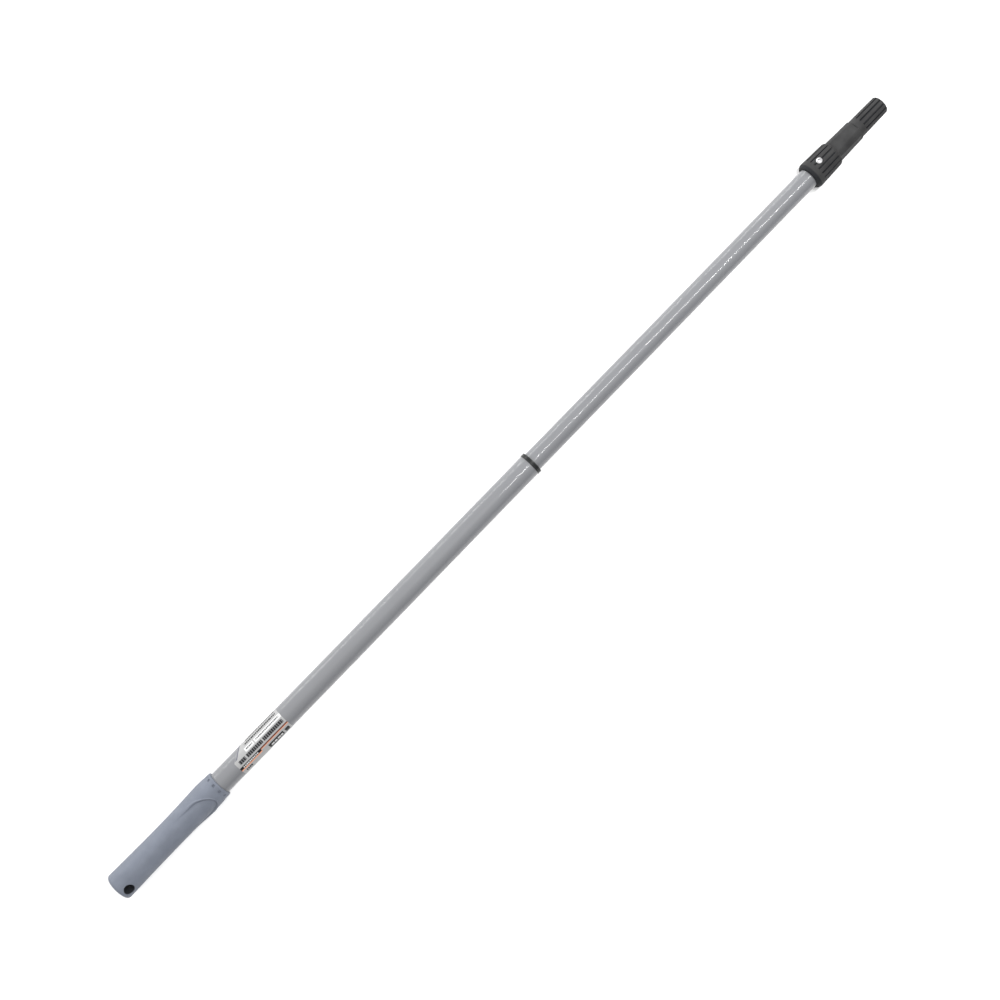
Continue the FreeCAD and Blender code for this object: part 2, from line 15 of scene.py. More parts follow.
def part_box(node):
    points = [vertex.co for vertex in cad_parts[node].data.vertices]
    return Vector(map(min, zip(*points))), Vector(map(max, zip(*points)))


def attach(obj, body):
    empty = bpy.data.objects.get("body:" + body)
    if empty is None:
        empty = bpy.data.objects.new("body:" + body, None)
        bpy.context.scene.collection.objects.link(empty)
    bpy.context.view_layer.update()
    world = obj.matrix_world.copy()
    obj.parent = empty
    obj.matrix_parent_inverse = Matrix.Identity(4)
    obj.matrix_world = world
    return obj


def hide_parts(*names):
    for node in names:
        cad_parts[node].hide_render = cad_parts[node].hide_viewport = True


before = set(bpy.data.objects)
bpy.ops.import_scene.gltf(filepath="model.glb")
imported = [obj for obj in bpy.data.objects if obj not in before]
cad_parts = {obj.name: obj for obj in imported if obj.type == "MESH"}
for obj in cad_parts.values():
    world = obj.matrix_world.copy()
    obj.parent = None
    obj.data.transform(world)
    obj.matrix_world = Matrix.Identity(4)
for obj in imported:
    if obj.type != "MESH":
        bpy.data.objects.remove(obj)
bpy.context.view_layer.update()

MM = 0.001
GRIP_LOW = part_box("grip")[0]
BUSH_LOW, BUSH_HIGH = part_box("collar_bush")
OUTER_LOW, OUTER_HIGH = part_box("outer_tube")
INNER_LOW, INNER_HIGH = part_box("inner_tube")
LABEL_LOW, LABEL_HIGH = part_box("label")
TIP_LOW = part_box("tool_tip")[0]
AXIS = Vector((0, 0, (OUTER_LOW.z + OUTER_HIGH.z) / 2))
OUTER_RADIUS = (OUTER_HIGH.y - OUTER_LOW.y) / 2
INNER_RADIUS = (INNER_HIGH.y - INNER_LOW.y) / 2
WALL = 0.5 * MM
JOINED = 1e-7   # metres: points closer than this are one point

GRIP_TURN = math.radians(38)    # round the pole, from the label's middle to the thumb's side
TIP_TURN = math.radians(-18)    # the same, to the tip's screw
LABEL_SLANT_FROM = 3 * MM       # where the cut corner starts, across from the label's middle
LABEL_SLANT_RISE = 4 / 3        # how far it runs along the pole per millimetre across
HANG_HOLE_RADIUS = 5.5          # millimetres, as is its station
HANG_HOLE_AT = 10

# The tip's main sizes, in millimetres. Its stations start at the collar's mouth.
TIP_LENGTH = 112
TIP_MOUTH_BEVEL = 3.3
COLLAR_END = 37.6
NECK_END = 71.4


# ---------------------------------------------------------------- mesh tools

def around(x, radius, angle):
    """The point of the pole's surface at x, a radius and an angle."""
    return (x, -radius * math.sin(angle), AXIS.z + radius * math.cos(angle))


def smooth_step(low, high, value):
    """0 below low, 1 above high, and a smooth rise between them."""
    share = np.clip((np.asarray(value, float) - low) / (high - low), 0, 1)
    return share * share * (3 - 2 * share)


def eased(corners, steps=5):
    """An outline of (x, radius, ease): each corner with an ease is rounded by that length."""
    points = []
    count = len(corners)
    for number, (x, radius, ease) in enumerate(corners):
        here = Vector((x, radius))
        if not ease:
            points.append(here)
            continue
        before = Vector(corners[(number - 1) % count][:2])
        after = Vector(corners[(number + 1) % count][:2])
        start = here + (before - here).normalized() * ease
        end = here + (after - here).normalized() * ease
        for step in range(steps + 1):
            share = step / steps
            points.append(start.lerp(here, share).lerp(here.lerp(end, share), share))
    return points


def divided(points, step, closed=True):
    """An outline with no stretch along the pole longer than step."""
    ends = points[1:] + points[:1] if closed else points[1:]
    fine = []
    for start, end in zip(points, ends):
        pieces = max(1, math.ceil(abs(end.x - start.x) / step))
        fine += [start.lerp(end, number / pieces) for number in range(pieces)]
    return fine if closed else fine + [points[-1]]


def new_object(name, verts, faces, material, sharp=35):
    """A mesh object with smooth shading that breaks at edges sharper than an angle."""
    mesh = bpy.data.meshes.new(name)
    mesh.from_pydata([tuple(v) for v in verts], [], faces)
    mesh.update()
    mesh.shade_smooth()
    mesh.set_sharp_from_angle(angle=math.radians(sharp))
    mesh.materials.append(material)
    piece = bpy.data.objects.new(name, mesh)
    bpy.context.scene.collection.objects.link(piece)
    return piece


def turned(name, rings, angles, material, sharp=35):
    """A closed skin round the pole: rings is an array (ring, angle) of (x, radius) pairs.

    The last ring joins the first. A ring of no radius becomes a single point."""
    verts, index = [], []
    for ring in rings:
        if max(radius for _, radius in ring) < JOINED:
            index.append([len(verts)] * len(angles))
            verts.append(around(ring[0][0], 0, 0))
            continue
        index.append(list(range(len(verts), len(verts) + len(angles))))
        verts += [around(x, radius, angle) for (x, radius), angle in zip(ring, angles)]
    faces = []
    for low, high in zip(index, index[1:] + index[:1]):
        for first in range(len(angles)):
            second = (first + 1) % len(angles)
            corners = list(dict.fromkeys([low[first], low[second], high[second], high[first]]))
            if len(corners) > 2:
                faces.append(corners)
    piece = new_object(name, verts, faces, material, sharp)
    clean(piece)
    return piece


def stacked(rows, capped=False):
    """The points and faces of a skin through rows of points, in millimetres.

    Each row is a closed loop. Flat faces close the first and the last row if it is capped."""
    count = len(rows[0])
    verts = [Vector(point) * MM for row in rows for point in row]
    faces = []
    for low in range(0, len(verts) - count, count):
        high = low + count
        for first in range(count):
            second = (first + 1) % count
            faces.append((low + first, low + second, high + second, high + first))
    if capped:
        faces += [list(range(count)), list(range(len(verts) - count, len(verts)))]
    return verts, faces


def clean(piece, join=True):
    """Joins doubled points, unless told not to, and turns every face outwards."""
    work = bmesh.new()
    work.from_mesh(piece.data)
    if join:
        bmesh.ops.remove_doubles(work, verts=work.verts, dist=JOINED)
        bmesh.ops.dissolve_degenerate(work, edges=work.edges, dist=JOINED / 10)
    bmesh.ops.recalc_face_normals(work, faces=work.faces)
    work.to_mesh(piece.data)
    work.free()


def cut_away(piece, tool, sharp=35):
    """Cuts one closed mesh out of another and removes the tool."""
    cut = piece.modifiers.new("cut", "BOOLEAN")
    cut.operation = "DIFFERENCE"
    cut.solver = "EXACT"
    cut.object = tool
    shown = piece.evaluated_get(bpy.context.evaluated_depsgraph_get())
    mesh = bpy.data.meshes.new_from_object(shown)
    piece.modifiers.clear()
    piece.data = mesh
    mesh.shade_smooth()
    mesh.set_sharp_from_angle(angle=math.radians(sharp))
    bpy.data.objects.remove(tool)


def even_angles(count):
    """Angles spread evenly round a full turn."""
    return [2 * math.pi * number / count for number in range(count)]


def plain_rings(outline, count):
    """Rings of one radius each, from an outline of points."""
    return [[(point.x, point.y)] * count for point in outline]


def curve_through(stations, value):
    """A smooth curve through (station, size) pairs, read at a station."""
    xs = [station for station, _ in stations]
    ys = [size for _, size in stations]
    slopes = np.gradient(ys, xs)
    number = min(max(np.searchsorted(xs, value) - 1, 0), len(xs) - 2)
    width = xs[number + 1] - xs[number]
    share = min(max((value - xs[number]) / width, 0), 1)
    start, end = ys[number], ys[number + 1]
    rise, fall = slopes[number] * width, slopes[number + 1] * width
    square, cube = share ** 2, share ** 3
    return ((2 * cube - 3 * square + 1) * start + (cube - 2 * square + share) * rise
            + (3 * square - 2 * cube) * end + (cube - square) * fall)


# ---------------------------------------------------------------- materials

# A near-black painted shade for the hang hole's wall, the tip's hollows and the screw's hollows.
PAINTED_SHADE_BLACK = (0.012, 0.013, 0.015, 1)


def put(tree, kind, *values, **settings):
    """A shader node. Values fill its inputs in order, and settings its named ones or options."""
    made = tree.nodes.new("ShaderNode" + kind)
    for name, value in settings.items():
        label = name.replace("_", " ").title()
        if label in made.inputs:
            feed(tree, made.inputs[label], value)
        else:
            setattr(made, name, value)
    for socket, value in zip(made.inputs, values):
        feed(tree, socket, value)
    return made


def feed(tree, socket, value):
    """Links an output to an input, or sets the input's own value. None leaves it alone."""
    if isinstance(value, bpy.types.NodeSocket):
        tree.links.new(value, socket)
    elif value is not None:
        socket.default_value = value


def maths(tree, operation, *values):
    """One step of arithmetic on numbers or outputs."""
    return put(tree, "Math", *values, operation=operation).outputs[0]


def mixed(tree, share, low, high):
    """A colour between two others."""
    made = put(tree, "Mix", data_type="RGBA")
    feed(tree, made.inputs["Factor"], share)
    feed(tree, made.inputs[6], low)
    feed(tree, made.inputs[7], high)
    return made.outputs[2]


def ranged(tree, value, low, high, new_low, new_high):
    """A number moved from one range to another, and kept inside it."""
    return put(tree, "MapRange", value, low, high, new_low, new_high).outputs[0]


def pointiness(tree):
    """How sharply the surface bulges: over a half at corners, and under it in hollows."""
    return put(tree, "NewGeometry").outputs["Pointiness"]


def noise(tree, place, size, detail=3, rough=0.55):
    """Noise whose lumps are about size metres across."""
    made = put(tree, "TexNoise", vector=place, scale=1 / size, detail=detail, roughness=rough)
    return made.outputs[0]


def stretched(tree, place, along):
    """A place squeezed along the pole, so that a pattern draws out into streaks."""
    return put(tree, "Mapping", place, None, None, (along, 1, 1)).outputs[0]


def grey(value):
    """A plain grey."""
    return (value, value, value, 1)


def new_material(name, **surface):
    """A material with one Principled shader: its tree, its shader and the object's own place."""
    material = bpy.data.materials.new(name)
    material.use_nodes = True
    tree = material.node_tree
    tree.nodes.clear()
    shader = put(tree, "BsdfPrincipled")
    for socket, value in surface.items():
        shader.inputs[socket.replace("_", " ")].default_value = value
    out = put(tree, "OutputMaterial")
    tree.links.new(shader.outputs[0], out.inputs[0])
    place = put(tree, "TexCoord").outputs["Object"]
    return material, tree, shader, place


def bumped(tree, shader, *layers):
    """Bump from (height, depth in metres) layers, one on another."""
    normal = None
    for height, depth in layers:
        bump = put(tree, "Bump", height=height, distance=depth, strength=1.0)
        if normal is not None:
            tree.links.new(normal, bump.inputs["Normal"])
        normal = bump.outputs[0]
    tree.links.new(normal, shader.inputs["Normal"])


def tube_paint(name, tone):
    """Satin gloss grey paint, faintly blue: mottle, specks, orange peel, rubbed streaks along it."""
    material, tree, shader, place = new_material(name, Metallic=0.0, IOR=1.5, Coat_Weight=0.5,
                                                 Coat_Roughness=0.04, Coat_IOR=1.5,
                                                 Specular_IOR_Level=0.3)
    mottle = noise(tree, place, 25 * MM, 4)
    streaks = noise(tree, stretched(tree, place, 0.02), 1.2 * MM, 3)
    specks = ranged(tree, noise(tree, place, 0.5 * MM, 2), 0.68, 0.74, 0, 1)
    colour = mixed(tree, mottle, (tone * 0.95, tone * 0.97, tone * 1.03, 1),
                   (tone * 1.02, tone * 1.05, tone * 1.11, 1))
    colour = mixed(tree, maths(tree, "MULTIPLY", specks, 0.25), colour, grey(tone * 0.7))
    tree.links.new(colour, shader.inputs["Base Color"])
    rough = ranged(tree, streaks, 0.3, 0.7, 0.36, 0.50)
    tree.links.new(rough, shader.inputs["Roughness"])
    bumped(tree, shader, (noise(tree, place, 1.6 * MM, 2), 0.0013 * MM),
           (noise(tree, stretched(tree, place, 0.03), 0.6 * MM, 2), 0.0005 * MM))
    return material


WORN_HIGHLIGHT_GAIN, WORN_HIGHLIGHT_LIFT = 2.0, 0.02   # a rubbed, paler corner's colour, from the plastic's own: wear plus a painted edge highlight
# the colour of the painted shade in hollows, taken from the plastic's darker colour
HOLLOW_SHADE_GAIN = 0.2


def moulded(name, low, high, rough, grain, depth, wear_and_highlight=0.0, hollow_shade=0.0, gloss=0.5, shade_mask=None):
    """Moulded plastic between two colours: grain, corners rubbed paler with a painted edge highlight,
    and a painted shade in hollows.

    The grain's size and depth are in metres. The last argument makes a mask of where a near-black
    painted shade goes, from the tree and the object's own place."""
    material, tree, shader, place = new_material(name, Metallic=0.0, IOR=1.47,
                                                 Specular_IOR_Level=gloss)
    tone = noise(tree, place, 14 * MM, 4)
    fine = noise(tree, place, grain, 3, 0.65)
    share = maths(tree, "ADD", maths(tree, "MULTIPLY", tone, 0.6),
                  maths(tree, "MULTIPLY", fine, 0.4))
    colour = mixed(tree, ranged(tree, share, 0.35, 0.65, 0, 1), low, high)
    pointed = pointiness(tree)
    # Convex corners go paler: rubbed wear together with a painted edge highlight.
    if wear_and_highlight:
        corner = ranged(tree, pointed, 0.52, 0.60, 0, wear_and_highlight)
        worn_and_highlit = tuple(min(1, channel * WORN_HIGHLIGHT_GAIN + WORN_HIGHLIGHT_LIFT) for channel in high[:3]) + (1,)
        patchy = ranged(tree, noise(tree, place, 3 * MM, 3), 0.35, 0.6, 0.3, 1)
        colour = mixed(tree, maths(tree, "MULTIPLY", corner, patchy), colour, worn_and_highlit)
    # Painted shade: concave hollows go darker, in place of occlusion.
    if hollow_shade:
        hollow = ranged(tree, pointed, 0.42, 0.49, hollow_shade, 0)
        hollow_shade_colour = tuple(channel * HOLLOW_SHADE_GAIN for channel in low[:3]) + (1,)
        colour = mixed(tree, hollow, colour, hollow_shade_colour)
    # Painted shade: near black where the mask is high.
    if shade_mask:
        colour = mixed(tree, shade_mask(tree, place), colour, PAINTED_SHADE_BLACK)
    tree.links.new(colour, shader.inputs["Base Color"])
    tree.links.new(ranged(tree, fine, 0.3, 0.7, rough - 0.06, rough + 0.08),
                   shader.inputs["Roughness"])
    bumped(tree, shader, (fine, depth), (noise(tree, place, 6 * MM, 2), 0.02 * MM))
    return material


def inside_hang_hole(tree, place):
    """Near 1 on the hang hole's wall, which gets a painted shade, and 0 outside it."""
    axis = Vector((0, -math.sin(GRIP_TURN), math.cos(GRIP_TURN)))
    middle = Vector((GRIP_LOW.x + HANG_HOLE_AT * MM, 0, AXIS.z))
    offset = put(tree, "VectorMath", place, tuple(middle), operation="SUBTRACT").outputs[0]
    off_axis = put(tree, "VectorMath", offset, tuple(axis), operation="CROSS_PRODUCT").outputs[0]
    away = put(tree, "VectorMath", off_axis, operation="LENGTH").outputs["Value"]
    reach = HANG_HOLE_RADIUS * MM
    return ranged(tree, away, reach + 0.05 * MM, reach + 0.5 * MM, 0.92, 0)


# The radius of the tops of the ribs: at station 0, and its change per millimetre along the tip.
COLLAR_RIDGE = (15.96, -0.0357)
SPIGOT_RIDGE = (11.79, -0.0121)


def in_tip_hollows(tree, place):
    """Near 1 on the bevel at the tip's mouth and on the floors of its grooves, which get a painted
    shade, 0 elsewhere.
    """
    split = put(tree, "SeparateXYZ", place)
    along, beside, height = split.outputs
    station = maths(tree, "DIVIDE", maths(tree, "SUBTRACT", along, TIP_LOW.x), MM)
    lift = maths(tree, "SUBTRACT", height, AXIS.z)
    squares = maths(tree, "ADD", maths(tree, "MULTIPLY", beside, beside),
                    maths(tree, "MULTIPLY", lift, lift))
    radius = maths(tree, "DIVIDE", maths(tree, "SQRT", squares), MM)
    share = ranged(tree, station, TIP_MOUTH_BEVEL - 0.3, TIP_MOUTH_BEVEL + 0.6, 0.95, 0)
    for (start, slope), low, high in ((COLLAR_RIDGE, TIP_MOUTH_BEVEL, COLLAR_END - 3),
                                      (SPIGOT_RIDGE, NECK_END + 4, TIP_LENGTH - 1)):
        ridge = maths(tree, "ADD", maths(tree, "MULTIPLY", station, slope), start)
        sunk = ranged(tree, maths(tree, "SUBTRACT", ridge, radius), 0.4, 0.9, 0, 0.85)
        here = maths(tree, "MULTIPLY", maths(tree, "GREATER_THAN", station, low),
                     maths(tree, "LESS_THAN", station, high))
        share = maths(tree, "MAXIMUM", share, maths(tree, "MULTIPLY", sunk, here))
    return share


def bright_steel():
    """Zinc plated steel: pale and a little uneven, with a fine grain and a painted shade in its
    hollows.
    """
    material, tree, shader, place = new_material("bright_steel", Metallic=1.0)
    patch = noise(tree, place, 1.5 * MM, 4)
    colour = mixed(tree, patch, (0.46, 0.46, 0.47, 1), (0.70, 0.70, 0.71, 1))
    # Painted shade: near black in concave hollows.
    hollow = ranged(tree, pointiness(tree), 0.40, 0.48, 0.9, 0)
    colour = mixed(tree, hollow, colour, PAINTED_SHADE_BLACK)
    tree.links.new(colour, shader.inputs["Base Color"])
    tree.links.new(ranged(tree, patch, 0.3, 0.7, 0.18, 0.34), shader.inputs["Roughness"])
    bumped(tree, shader, (noise(tree, place, 0.25 * MM, 3), 0.006 * MM))
    return material


class Print:
    """Flat generic blocks printed on the label.

    Places along it are in millimetres from its grip end, and across it from its middle."""

    def __init__(self, tree, ground):
        self.tree = tree
        self.colour = ground
        split = put(tree, "SeparateXYZ", put(tree, "UVMap", uv_map="print").outputs[0])
        self.along, self.across = split.outputs[0], split.outputs[1]

    def within(self, value, low, high):
        """1 where a number lies between two others."""
        above = maths(self.tree, "GREATER_THAN", value, low)
        return maths(self.tree, "MULTIPLY", above, maths(self.tree, "LESS_THAN", value, high))

    def box(self, along, across):
        """1 inside a rectangle."""
        return maths(self.tree, "MULTIPLY", self.within(self.along, *along),
                     self.within(self.across, *across))

    def bars(self, pitch, fill, seed):
        """1 on plain bars of uneven length along the label, never letters."""
        cell = maths(self.tree, "DIVIDE", self.along, pitch)
        number = maths(self.tree, "ADD", maths(self.tree, "FLOOR", cell), seed)
        chance = put(self.tree, "TexWhiteNoise", noise_dimensions="1D")
        feed(self.tree, chance.inputs["W"], number)
        here = maths(self.tree, "FRACT", cell)
        length = ranged(self.tree, chance.outputs["Value"], 0, 1, fill * 0.7, fill)
        return maths(self.tree, "LESS_THAN", here, length)

    def lay(self, mask, colour):
        """Prints a colour where the mask is 1."""
        self.colour = mixed(self.tree, mask, self.colour, colour)

    def block(self, along, across, colour):
        """Prints a plain rectangle."""
        self.lay(self.box(along, across), colour)

    def swoosh(self, colour):
        """Prints two stripes that follow the label's cut corner."""
        radius = OUTER_RADIUS / MM
        side = maths(self.tree, "SINE", maths(self.tree, "DIVIDE", self.across, -radius))
        rise = maths(self.tree, "SUBTRACT", maths(self.tree, "MULTIPLY", side, radius),
                     LABEL_SLANT_FROM / MM)
        inside = maths(self.tree, "SUBTRACT", self.along,
                       maths(self.tree, "MULTIPLY", rise, LABEL_SLANT_RISE))
        for low, high in SWOOSH_STRIPES:
            stripe = self.within(inside, low, high)
            reach = self.within(self.across, *SWOOSH_ACROSS)
            self.lay(maths(self.tree, "MULTIPLY", stripe, reach), colour)

    def row(self, along, across, colour, pitch, fill, seed):
        """Prints a row of plain bars."""
        bars = self.bars(pitch, fill, seed)
        self.lay(maths(self.tree, "MULTIPLY", self.box(along, across), bars), colour)


SWOOSH_STRIPES = ((0.5, 1.3), (2.0, 3.6))   # millimetres inside the cut corner
SWOOSH_ACROSS = (-20, -4)
INK = (0.004, 0.004, 0.005, 1)
CHARCOAL = (0.11, 0.11, 0.115, 1)
WHITE = (0.52, 0.52, 0.52, 1)
SOFT_INK = (0.035, 0.035, 0.04, 1)
RUST = (0.10, 0.03, 0.02, 1)
ORANGE = (0.60, 0.27, 0.17, 1)
SLATE = (0.065, 0.07, 0.095, 1)


def label_print():
    """Printed film: a pale ground with generic bars and blocks in place of any words or mark."""
    material, tree, shader, place = new_material("label_print", Metallic=0.0, IOR=1.5,
                                                 Specular_IOR_Level=0.25)
    fibre = noise(tree, place, 4 * MM, 4)
    ground = mixed(tree, fibre, grey(0.27), grey(0.30))
    art = Print(tree, ground)
    # Stripes along the cut corner, then two long rows of bars.
    art.swoosh(SLATE)
    art.row((23, 64), (-17.2, -14.2), INK, pitch=2.3, fill=0.95, seed=3)
    art.row((20, 64), (-12.0, -9.6), INK, pitch=2.1, fill=0.95, seed=11)
    # A pale band in two lengths, each with soft bars.
    for along in ((17, 29), (30.5, 67.4)):
        art.block(along, (-7.4, -3.0), WHITE)
    for along, seed in (((18.5, 27.5), 5), ((32.5, 65), 23)):
        art.row(along, (-6.2, -4.7), SOFT_INK, pitch=1.9, fill=0.85, seed=seed)
    # Three dark title blocks along the label's middle.
    for along, seed in (((4, 12.8), 7), ((14.4, 36.2), 41), ((37.8, 65.3), 66)):
        art.block(along, (-1.5, 2.6), CHARCOAL)
        art.row(along, (-1.5, 2.6), INK, pitch=2.5, fill=0.75, seed=seed)
    # A two-tone stripe, which widens into a dark band with pale bars.
    art.block((29, 67.4), (4.5, 6.0), RUST)
    art.block((29, 67.4), (6.0, 6.7), ORANGE)
    art.block((0, 29), (4.6, 7.7), INK)
    art.block((0, 29), (7.7, 9.0), ORANGE)
    art.row((4, 25), (5.6, 7.1), WHITE, pitch=2.1, fill=0.8, seed=2)
    # A short row and two dark boxes near the far edge.
    art.row((4, 12.8), (10.3, 13.4), INK, pitch=2.1, fill=0.9, seed=31)
    art.block((36.7, 57), (8.9, 15.8), INK)
    art.row((38.5, 55.5), (11.2, 13.4), WHITE, pitch=4.4, fill=0.85, seed=4)
    art.block((59.5, 65), (9.4, 15.4), INK)
    tree.links.new(art.colour, shader.inputs["Base Color"])
    tree.links.new(ranged(tree, fibre, 0.3, 0.7, 0.30, 0.42), shader.inputs["Roughness"])
    bumped(tree, shader, (noise(tree, place, 3 * MM, 3), 0.01 * MM))
    return material


PAINT = tube_paint("tube_paint", tone=0.144)
# Each moulded plastic gets a painted edge highlight on its corners and painted shade in its hollows;
# the grip's hang hole and the tip's hollows are painted near black as shade.
GRIP_PLASTIC = moulded("grip_plastic", (0.112, 0.125, 0.154, 1), (0.137, 0.152, 0.185, 1),
                       rough=0.50, grain=0.45 * MM, depth=0.030 * MM,
                       wear_and_highlight=0.10, hollow_shade=0.5, gloss=0.3, shade_mask=inside_hang_hole)
TIP_PLASTIC = moulded("tip_plastic", (0.022, 0.022, 0.0225, 1), (0.040, 0.040, 0.0405, 1),
                      rough=0.60, grain=0.40 * MM, depth=0.035 * MM,
                      wear_and_highlight=0.45, hollow_shade=0.7, gloss=0.15, shade_mask=in_tip_hollows)
BUSH_PLASTIC = moulded("bush_plastic", (0.010, 0.011, 0.011, 1), (0.018, 0.019, 0.020, 1),
                       rough=0.34, grain=0.30 * MM, depth=0.012 * MM,
                       wear_and_highlight=0.2, hollow_shade=0.7, gloss=0.25)
NYLON = moulded("natural_nylon", (0.60, 0.59, 0.54, 1), (0.72, 0.71, 0.66, 1),
                rough=0.42, grain=0.5 * MM, depth=0.01 * MM)
RED_ACETAL = moulded("red_acetal", (0.38, 0.05, 0.035, 1), (0.48, 0.08, 0.05, 1),
                     rough=0.38, grain=0.5 * MM, depth=0.01 * MM)
RUBBER = moulded("drag_rubber", grey(0.012), grey(0.022),
                 rough=0.66, grain=0.3 * MM, depth=0.02 * MM)
STEEL = bright_steel()
LABEL_PRINT = label_print()


# ---------------------------------------------------------------- pieces

def stand_in(piece, node, body):
    """A piece that shows instead of one CAD node and moves with its body."""
    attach(piece, body)
    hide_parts(node)
    return piece


TUBE_SEGMENTS = 160
TUBE_EASE = 0.12 * MM
TUBE_RING_STEP = 12 * MM


def make_tube(name, low, high, radius, node, body):
    """A painted tube with its bore and softly rounded ends."""
    inside = radius - WALL
    outline = eased([(low, inside, TUBE_EASE), (low, radius, TUBE_EASE),
                     (high, radius, TUBE_EASE), (high, inside, TUBE_EASE)], 3)
    rings = plain_rings(divided(outline, TUBE_RING_STEP), TUBE_SEGMENTS)
    piece = turned(name, rings, even_angles(TUBE_SEGMENTS), PAINT)
    return stand_in(piece, node, body)


# The grip's radius along its length, and its moulded details, in millimetres.
GRIP_LENGTH = 146
GRIP_HEEL_ROUND = 3.4
GRIP_HEEL_STEPS = 14
GRIP_RADII = [(0, 15.65), (8, 15.5), (24, 15.1), (46, 14.75), (72, 14.6), (88, 14.68),
              (101, 14.95), (114, 15.38), (126, 15.78), (133, 15.6), (140, 15.1), (146, 14.85)]
GRIP_SEGMENTS = 384
GRIP_RIM_ROUND = 1.5
GRIP_MOUTH_EASE = 0.3
# Stretches of the grip past its heel: from, to, and the step between rings.
GRIP_STRETCHES = ((5, 90, 1.5), (90, 135, 0.35), (135, GRIP_LENGTH - GRIP_RIM_ROUND, 0.25))
TUBE_SEAT = 18
FLAT_DEPTH = 0.55      # a broad flat runs along the thumb's side, from the heel to the recess
FLAT_HALF = 7.5
FLAT_FULL_FROM, FLAT_FULL_TO, FLAT_END = 26, 104, 128
THUMB_CENTRE = 112.1   # the recess's front is half an ellipse
THUMB_REACH = 20.4
THUMB_HALF = 13.0
THUMB_BACK = 84
THUMB_DEPTH = 1.3
THUMB_WALL = 0.8
THUMB_LIP = 0.55       # a low rounded lip runs along the front's edge
THUMB_LIP_WIDTH = 0.5
THUMB_LIP_OUT = 0.45
DIMPLES = 11
DIMPLE_FROM, DIMPLE_TO = 140.7, 143.0
DIMPLE_HALF = 1.3
DIMPLE_DEPTH = 1.1
DIMPLE_WALL = 0.15
FAR_AWAY = 50.0        # stands for how far the thumb recess is from the grip's other side


def thumb_distance(station, across):
    """How far a place is outside the thumb recess's front edge, in millimetres."""
    along = max(station - THUMB_CENTRE, 0)
    reach = np.hypot(along / THUMB_REACH, across / THUMB_HALF)
    slope = np.hypot(along / THUMB_REACH ** 2, across / THUMB_HALF ** 2) + 1e-6
    return (reach - 1) * reach / slope


def grip_radii(station, angles):
    """The grip's radius round one station, with the flat, the thumb recess and the dimples."""
    radius = curve_through(GRIP_RADII, station)
    if station < GRIP_HEEL_ROUND:
        drop = 1 - math.sqrt(max(0, 1 - (1 - station / GRIP_HEEL_ROUND) ** 2))
        radius -= GRIP_HEEL_ROUND * drop
    turned_by = (np.array(angles) - GRIP_TURN + math.pi) % (2 * math.pi) - math.pi
    across = radius * np.sin(turned_by)
    facing = np.abs(turned_by) < math.pi / 2
    flat_fade = float(smooth_step(0, FLAT_FULL_FROM, station)
                      * (1 - smooth_step(FLAT_FULL_TO, FLAT_END, station)))
    flat = np.where(facing, FLAT_DEPTH * flat_fade * np.exp(-(across / FLAT_HALF) ** 4), 0)
    edge = np.where(facing, thumb_distance(station, across), FAR_AWAY)
    fade = float(smooth_step(THUMB_BACK, THUMB_CENTRE + 4, station))
    scoop = THUMB_DEPTH * fade * (1 - smooth_step(-THUMB_WALL, 0, edge))
    lip_fade = float(smooth_step(THUMB_CENTRE - 12, THUMB_CENTRE + 3, station))
    lip = THUMB_LIP * lip_fade * np.exp(-((edge - THUMB_LIP_OUT) / THUMB_LIP_WIDTH) ** 2)
    pitch = 2 * math.pi / DIMPLES
    nearest = (turned_by + math.pi / DIMPLES + pitch / 2) % pitch - pitch / 2
    beside = np.abs(radius * np.sin(nearest))
    inside = (smooth_step(DIMPLE_FROM - DIMPLE_WALL, DIMPLE_FROM + DIMPLE_WALL, station)
              * (1 - smooth_step(DIMPLE_TO - DIMPLE_WALL, DIMPLE_TO + DIMPLE_WALL, station)))
    dimple = DIMPLE_DEPTH * inside * (1 - smooth_step(DIMPLE_HALF - 0.2, DIMPLE_HALF + 0.1, beside))
    return radius - flat - scoop + lip - dimple


def grip_stations():
    """Where the grip's rings lie: close together at the heel, the recess and the rim."""
    heel = [GRIP_HEEL_ROUND * (1 - math.cos(math.pi / 2 * step / GRIP_HEEL_STEPS))
            for step in range(GRIP_HEEL_STEPS + 1)]
    return heel + [station for stretch in GRIP_STRETCHES for station in np.arange(*stretch)]


def make_grip():
    """The moulded handle with its blind bore, hang hole, thumb recess and dimpled rim."""
    angles = even_angles(GRIP_SEGMENTS)
    rings = [[(GRIP_LOW.x, 0)] * GRIP_SEGMENTS]
    heel_flat = curve_through(GRIP_RADII, 0) - GRIP_HEEL_ROUND
    for share in (0.35, 0.7):
        rings.append([(GRIP_LOW.x, heel_flat * share * MM)] * GRIP_SEGMENTS)
    for station in grip_stations():
        x = GRIP_LOW.x + station * MM
        rings.append([(x, radius * MM) for radius in grip_radii(station, angles)])
    rim = curve_through(GRIP_RADII, GRIP_LENGTH) * MM
    end = GRIP_LOW.x + GRIP_LENGTH * MM
    seat = GRIP_LOW.x + TUBE_SEAT * MM
    outline = eased([
        (end - GRIP_RIM_ROUND * MM * 2, rim, 0), (end, rim, GRIP_RIM_ROUND * MM),
        (end, OUTER_RADIUS, GRIP_MOUTH_EASE * MM), (seat, OUTER_RADIUS, 0), (seat, 0, 0),
    ], 8)
    rings += plain_rings(outline[1:], GRIP_SEGMENTS)
    piece = turned("grip_shell", rings, angles, GRIP_PLASTIC)
    cut_away(piece, hang_hole_tool(), 40)
    clean(piece)
    return stand_in(piece, "grip", "outer_section")


HANG_HOLE_EDGE = 0.8
HANG_HOLE_EDGE_STEPS = 8
HANG_HOLE_SEGMENTS = 96
HANG_HOLE_CLEAR = (-2.0, 2.6)   # the tool's ends stand off the grip: depth, and extra radius


